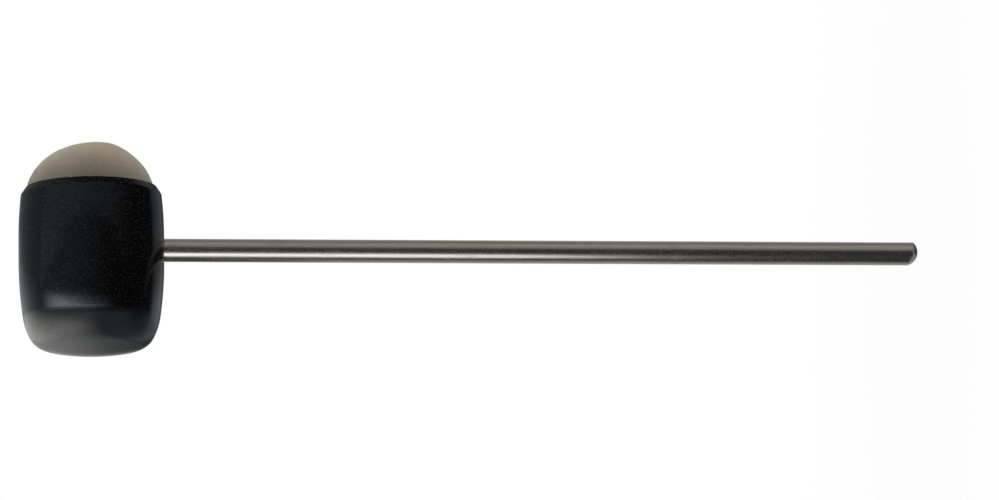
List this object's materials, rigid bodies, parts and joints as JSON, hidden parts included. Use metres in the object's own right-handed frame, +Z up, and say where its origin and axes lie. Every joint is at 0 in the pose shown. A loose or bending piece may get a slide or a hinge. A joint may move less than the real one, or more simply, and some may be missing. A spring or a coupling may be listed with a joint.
{
  "type": "bass drum beater",
  "caption": "Drum pedal beater: a straight steel shaft carries a barrel-shaped black plastic head, with a felt dome on its front and a hard plastic striking face behind.",
  "frame": {"origin": "on the shaft's axis, where the dressing of the free end runs out and the full-diameter grip begins", "axes": "+Z up the shaft towards the head, -Y out of the felt face, +Y out of the plastic face, X across the head"},
  "size_m": [0.0398, 0.0587, 0.2468],
  "materials": {
    "drawn_steel": "satin",
    "black_plastic": "satin",
    "felt": "matte",
    "adhesive": "matte"
  },
  "bodies": {
    "root": {"shaft": "drawn_steel", "head_body": "black_plastic", "felt_pad": "felt", "felt_glue": "adhesive"}
  },
  "joints": []
}
